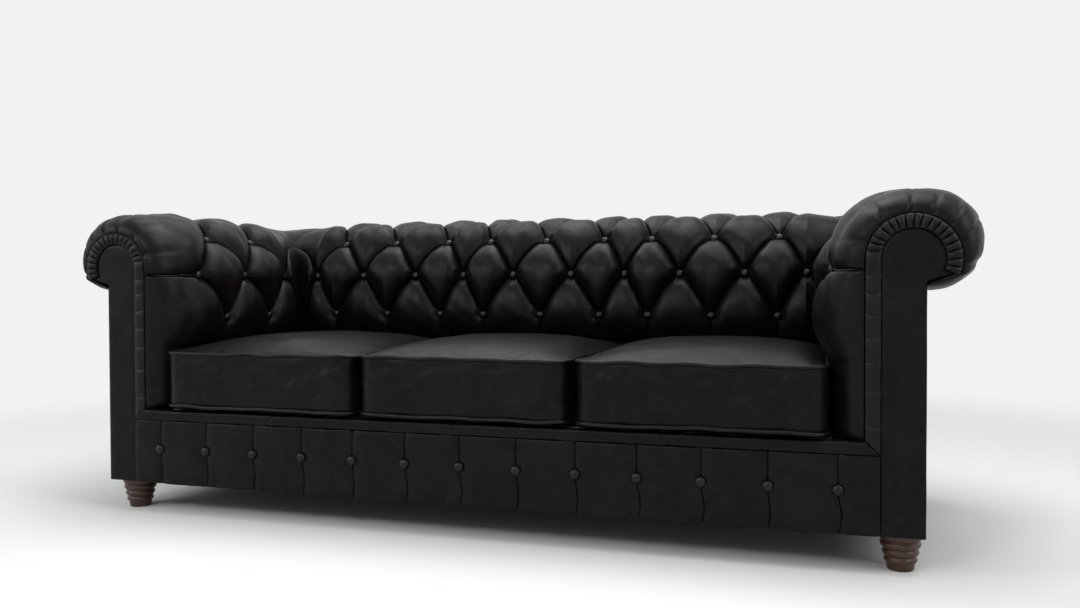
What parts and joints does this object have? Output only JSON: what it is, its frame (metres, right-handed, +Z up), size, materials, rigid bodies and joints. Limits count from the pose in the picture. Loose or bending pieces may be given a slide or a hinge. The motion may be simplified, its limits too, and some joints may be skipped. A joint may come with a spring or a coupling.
{
  "type": "chesterfield sofa",
  "caption": "Long leather sofa with rolled arms and back of one height, deep diamond buttoning, loose box cushions, buttoned front border and turned wooden feet",
  "frame": {"origin": "middle of the overall footprint, on the floor under the feet", "axes": "+X along the seat to the viewer's right as seen from the front, +Y from the front of the seat to the back, +Z up"},
  "size_m": [2.226, 0.931, 0.7867],
  "materials": {
    "body_leather": "near-black pigmented cowhide, softly glossy on the crests",
    "trim_leather": "the same cowhide gathered into pleats",
    "button_leather": "the same cowhide stretched over button moulds",
    "foot_wood": "dark stained beech under satin lacquer",
    "frame_hardwood": "planed and left bare",
    "plywood": "sawn birch plywood",
    "upholstery_foam": "cut foam wrapped in wadding",
    "hessian": "plain woven jute",
    "elastic_webbing": "woven elastic strap",
    "black_cloth": "matt non-woven cloth",
    "hardware_steel": "zinc plated"
  },
  "bodies": {
    "sofa_frame": {"back_battens": "frame_hardwood", "back_buttons": "button_leather", "back_cover": "body_leather", "back_foam": "upholstery_foam", "back_hessian": "hessian", "back_liner": "body_leather", "back_ribs": "plywood", "cross_webbing": "elastic_webbing", "dust_cover": "black_cloth", "foot_blocks": "frame_hardwood", "front_border": "body_leather", "front_border_buttons": "button_leather", "front_seat_rail": "frame_hardwood", "hanger_bolts": "hardware_steel", "left_arm_battens": "frame_hardwood", "left_arm_buttons": "button_leather", "left_arm_cover": "body_leather", "left_arm_facing": "body_leather", "left_arm_foam": "upholstery_foam", "left_arm_hessian": "hessian", "left_arm_liner": "body_leather", "left_arm_ribs": "plywood", "left_facing_board": "plywood", "left_outside_panel": "body_leather", "left_ruched_band": "trim_leather", "left_seat_rail": "frame_hardwood", "outside_back_panel": "body_leather", "rear_seat_rail": "frame_hardwood", "right_arm_battens": "frame_hardwood", "right_arm_buttons": "button_leather", "right_arm_cover": "body_leather", "right_arm_facing": "body_leather", "right_arm_foam": "upholstery_foam", "right_arm_hessian": "hessian", "right_arm_liner": "body_leather", "right_arm_ribs": "plywood", "right_facing_board": "plywood", "right_outside_panel": "body_leather", "right_ruched_band": "trim_leather", "right_seat_rail": "frame_hardwood", "seat_deck_cloth": "black_cloth", "seat_deck_pad": "upholstery_foam", "seat_lip": "body_leather", "seat_stretchers": "frame_hardwood", "seat_webbing": "elastic_webbing", "tee_nuts": "hardware_steel", "turned_feet": "foot_wood"},
    "left_cushion": {"left_cushion_cover": "body_leather", "left_cushion_core": "upholstery_foam"},
    "centre_cushion": {"centre_cushion_cover": "body_leather", "centre_cushion_core": "upholstery_foam"},
    "right_cushion": {"right_cushion_cover": "body_leather", "right_cushion_core": "upholstery_foam"}
  },
  "joints": [
    {"name": "left_cushion_pull_out", "type": "slide", "parent": "sofa_frame", "child": "left_cushion", "axis": [0, -1, 0], "range_m": [0, 0.65]},
    {"name": "centre_cushion_pull_out", "type": "slide", "parent": "sofa_frame", "child": "centre_cushion", "axis": [0, -1, 0], "range_m": [0, 0.65]},
    {"name": "right_cushion_pull_out", "type": "slide", "parent": "sofa_frame", "child": "right_cushion", "axis": [0, -1, 0], "range_m": [0, 0.65]}
  ]
}
